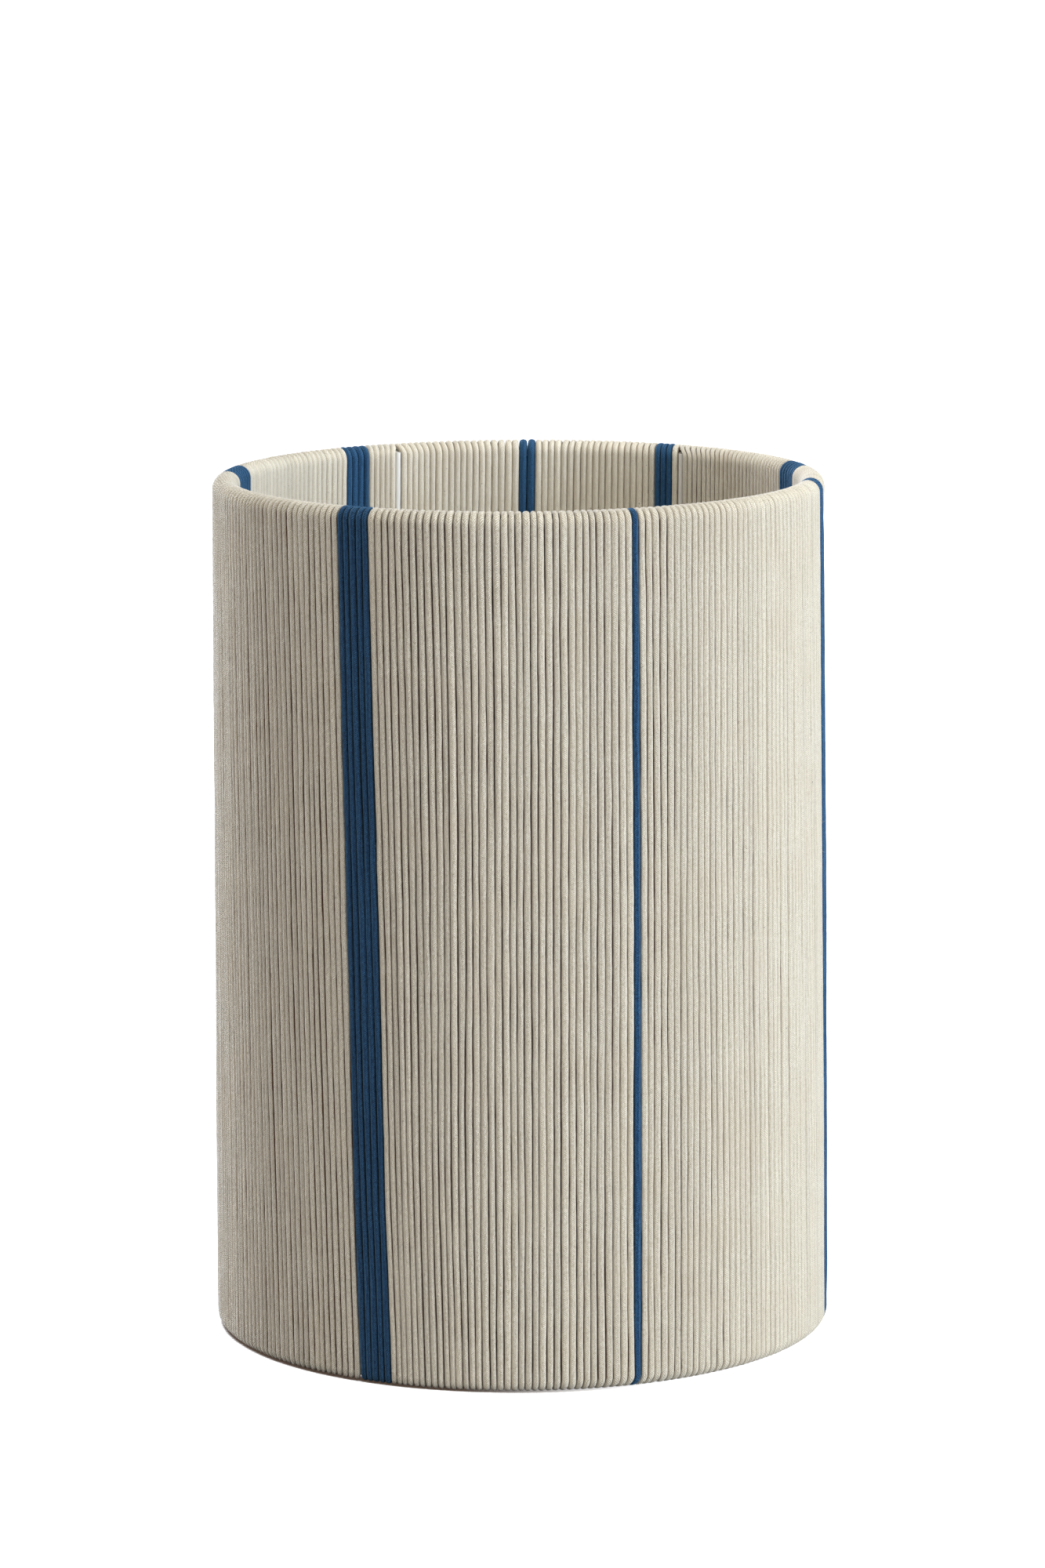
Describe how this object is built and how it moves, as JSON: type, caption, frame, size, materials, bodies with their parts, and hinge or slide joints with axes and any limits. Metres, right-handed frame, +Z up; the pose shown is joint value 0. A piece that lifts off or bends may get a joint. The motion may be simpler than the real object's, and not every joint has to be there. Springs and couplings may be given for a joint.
{
  "type": "lampshade",
  "caption": "Cord-wound drum lampshade on a wire frame, open at both ends, with a recessed lampholder ring near the foot.",
  "frame": {"origin": "centre of the foot rim, on the surface the shade stands on", "axes": "+Z up along the drum's axis; -Y is the front, with the wide blue stripe on its left"},
  "size_m": [0.252, 0.252, 0.35],
  "materials": {
    "natural_cord": "matte braided natural cotton cord",
    "blue_cord": "matte braided dyed cotton cord, deep blue",
    "painted_wire": "satin white powder coat"
  },
  "bodies": {
    "root": {"top_ring": "painted_wire", "bottom_ring": "painted_wire", "strut_1": "painted_wire", "strut_2": "painted_wire", "strut_3": "painted_wire", "strut_4": "painted_wire", "strut_5": "painted_wire", "strut_6": "painted_wire", "lampholder_carrier_ring": "painted_wire", "fitting_arm_1": "painted_wire", "fitting_arm_2": "painted_wire", "fitting_arm_3": "painted_wire", "cord_blue_front_left": "blue_cord", "cord_natural_front": "natural_cord", "cord_blue_front_right": "blue_cord", "cord_natural_front_right": "natural_cord", "cord_blue_right": "blue_cord", "cord_natural_right": "natural_cord", "cord_blue_back_right": "blue_cord", "cord_natural_back_right": "natural_cord", "cord_blue_rear_narrow": "blue_cord", "cord_natural_rear_right": "natural_cord", "cord_blue_rear_centre": "blue_cord", "cord_natural_rear_left": "natural_cord", "cord_blue_rear_wide": "blue_cord", "cord_natural_back_left": "natural_cord", "cord_blue_left": "blue_cord", "cord_natural_left": "natural_cord"}
  },
  "joints": []
}
